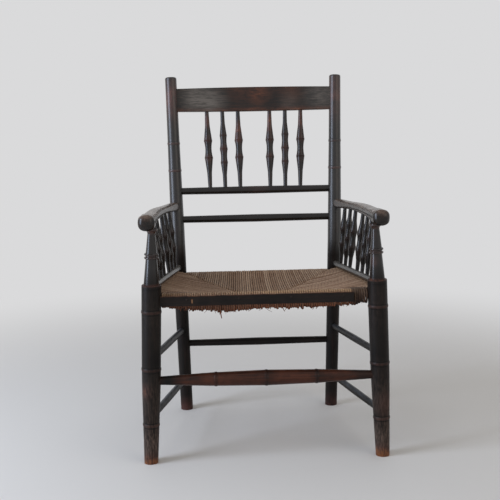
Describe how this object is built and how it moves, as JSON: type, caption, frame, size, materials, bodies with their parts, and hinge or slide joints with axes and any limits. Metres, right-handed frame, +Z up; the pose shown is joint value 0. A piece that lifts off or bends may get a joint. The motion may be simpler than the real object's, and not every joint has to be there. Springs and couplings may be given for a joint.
{
  "type": "armchair",
  "caption": "Open armchair of turned, ebonised wood with a raked spindle back under a bowed crest rail, swept arms over spindles, ringed legs and a rush seat.",
  "frame": {"origin": "centre of the bounding box's bottom face, on the floor", "axes": "+Z up, -Y the way the sitter faces, +X to the sitter's left"},
  "size_m": [0.5454, 0.4381, 0.85],
  "materials": {
    "ebonised_wood": "black stain under worn shellac, brown wood showing on the turned rings",
    "worn_stretcher_wood": "black stain rubbed through to red-brown wood",
    "arm_wood": "black stain worn to grey-brown by hands, with a dull shine",
    "rush": "twisted dry rush, matt, darkened with age",
    "pin_iron": "blackened iron tacks"
  },
  "bodies": {
    "root": {"arm_left": "arm_wood", "arm_rail_left": "ebonised_wood", "arm_rail_right": "ebonised_wood", "arm_right": "arm_wood", "arm_spindle_1_left": "ebonised_wood", "arm_spindle_1_right": "ebonised_wood", "arm_spindle_2_left": "ebonised_wood", "arm_spindle_2_right": "ebonised_wood", "arm_spindle_3_left": "ebonised_wood", "arm_spindle_3_right": "ebonised_wood", "arm_spindle_4_left": "ebonised_wood", "arm_spindle_4_right": "ebonised_wood", "arm_spindle_5_left": "ebonised_wood", "arm_spindle_5_right": "ebonised_wood", "arm_spindle_6_left": "ebonised_wood", "arm_spindle_6_right": "ebonised_wood", "back_post_left": "ebonised_wood", "back_post_right": "ebonised_wood", "back_spindle_1_left": "ebonised_wood", "back_spindle_1_right": "ebonised_wood", "back_spindle_2_left": "ebonised_wood", "back_spindle_2_right": "ebonised_wood", "back_spindle_3_left": "ebonised_wood", "back_spindle_3_right": "ebonised_wood", "back_stretcher": "ebonised_wood", "crest_rail": "ebonised_wood", "front_post_left": "ebonised_wood", "front_post_right": "ebonised_wood", "front_stretcher": "worn_stretcher_wood", "lower_back_rail": "ebonised_wood", "rush_seat": "rush", "seat_rail_back": "ebonised_wood", "seat_rail_front": "ebonised_wood", "seat_rail_left": "ebonised_wood", "seat_rail_right": "ebonised_wood", "seat_strip_front": "ebonised_wood", "seat_strip_left": "ebonised_wood", "seat_strip_right": "ebonised_wood", "side_stretcher_lower_left": "ebonised_wood", "side_stretcher_lower_right": "ebonised_wood", "side_stretcher_upper_left": "ebonised_wood", "side_stretcher_upper_right": "ebonised_wood", "strip_pins": "pin_iron", "upper_back_rail": "ebonised_wood"}
  },
  "joints": []
}
